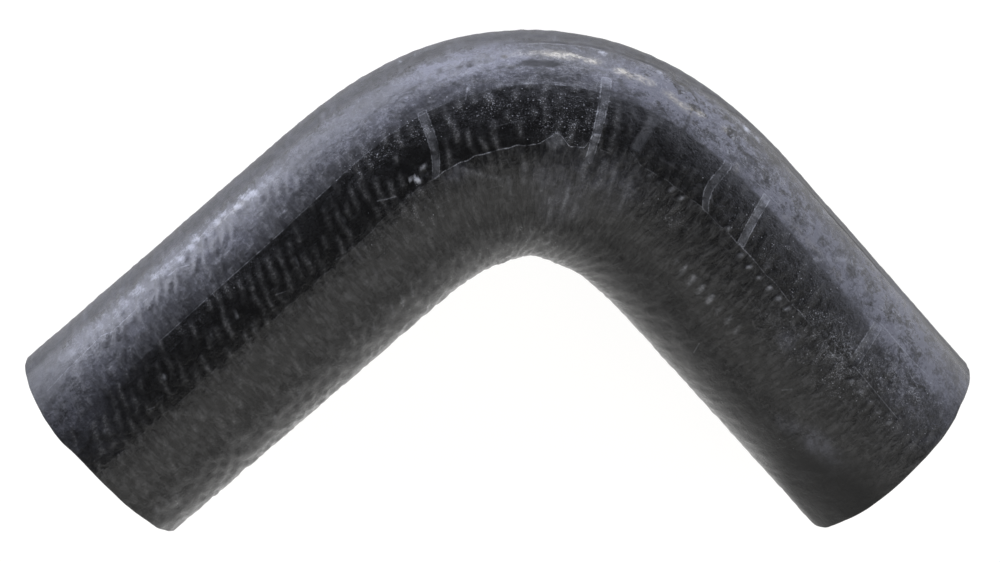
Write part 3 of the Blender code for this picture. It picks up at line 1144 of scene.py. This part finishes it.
def light_ceiling(tint):
    """A large panel overhead, dimmer near its edge. The edge is what ends the black band's reflection."""
    edge = (plan_heading(90) * 2.6 + plan_heading(0) * 1.62).normalized()
    downhill = edge.cross(Vector((0, 0, 1)))
    start = plan_heading(0) * -0.24 + Vector((0, 0, 0.9))
    for name, near, far, brightness in (("ceiling_edge", 0.0, 0.35, 1.1), ("ceiling", 0.35, 1.7, 1.4)):
        middle = start + downhill * (near + far) / 2
        panel(name, middle, edge, Vector((0, 0, -1)), (3.0, far - near), brightness, tint)


def light_scene():
    cool = (0.80, 0.835, 1.0)
    neutral = (1.0, 0.99, 0.965)
    for number, heading in enumerate((-57, -27, 3)):
        softbox(f"window_low_{number}", heading, 4, 16, 16, 1.5, cool)
        softbox(f"window_middle_{number}", heading, 16, 30, 16, 1.6, cool)
        softbox(f"window_high_{number}", heading, 30, 44, 16, 0.9, cool)
    for number, heading in enumerate((34, 64)):
        softbox(f"window_right_low_{number}", heading, 0, 16, 16, 0.7, cool)
        softbox(f"window_right_high_{number}", heading, 16, 34, 16, 3.3, cool)
    low_strip("strip_left", Vector((-0.12, 1, 0)), 0.16, 0.26, 7.0, cool)
    low_strip("strip_corner", Vector((1, 1, 0)), 0.19, 0.13, 6.5, cool)
    low_strip("strip_right", Vector((1, -0.15, 0)), 0.165, 0.22, 0.7, cool)
    light_ceiling(neutral)
    for number, heading in enumerate((104, 138, 172)):
        softbox(f"wall_{number}", heading, 0, 30, 18, 0.55, neutral, reach=1.0)
    softbox("wall_3", 228, 16, 42, 18, 1.2, neutral, reach=1.0)
    world = bpy.data.worlds.new("studio")
    world.use_nodes = True
    background = world.node_tree.nodes["Background"]
    background.inputs["Color"].default_value = (1, 1, 1, 1)
    background.inputs["Strength"].default_value = 0.06
    bpy.context.scene.world = world


def lay_floor():
    half = 4.0
    corners = [(-half, -half, 0), (half, -half, 0), (half, half, 0), (-half, half, 0)]
    mesh = bpy.data.meshes.new("floor")
    mesh.from_pydata(corners, [], [(0, 1, 2, 3)])
    floor = added("floor", mesh)
    material = bpy.data.materials.new("pale_floor")
    material.use_nodes = True
    shader = material.node_tree.nodes["Principled BSDF"]
    shader.inputs["Base Color"].default_value = (0.12, 0.12, 0.12, 1)
    shader.inputs["Roughness"].default_value = 0.8
    shader.inputs["Emission Color"].default_value = (1.0, 0.995, 0.985, 1)
    shader.inputs["Emission Strength"].default_value = 0.94
    mesh.materials.append(material)


def place_camera():
    place = Vector((0.016808, 0.052733, 0.363044))
    target = Vector((0.01076, 0.01608, 0.024))
    focal_pixels = 1606.8
    picture_width = 1000
    camera = bpy.data.cameras.new("camera")
    camera.sensor_width = 36.0
    camera.lens = focal_pixels / picture_width * camera.sensor_width
    back = (place - target).normalized()
    right = plan_heading(0).cross(back).normalized()
    up = back.cross(right)
    seen_from = added("camera", camera)
    seen_from.matrix_world = Matrix.Translation(place) @ Matrix((right, up, back)).transposed().to_4x4()
    bpy.context.scene.camera = seen_from


def main():
    place_camera()
    lay_floor()
    light_scene()
    hose = build_hose()
    hose.data.materials.append(rubber())
    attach(hose, "root")
    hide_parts("hose_elbow")
    bpy.context.scene.view_settings.view_transform = "Standard"


main()
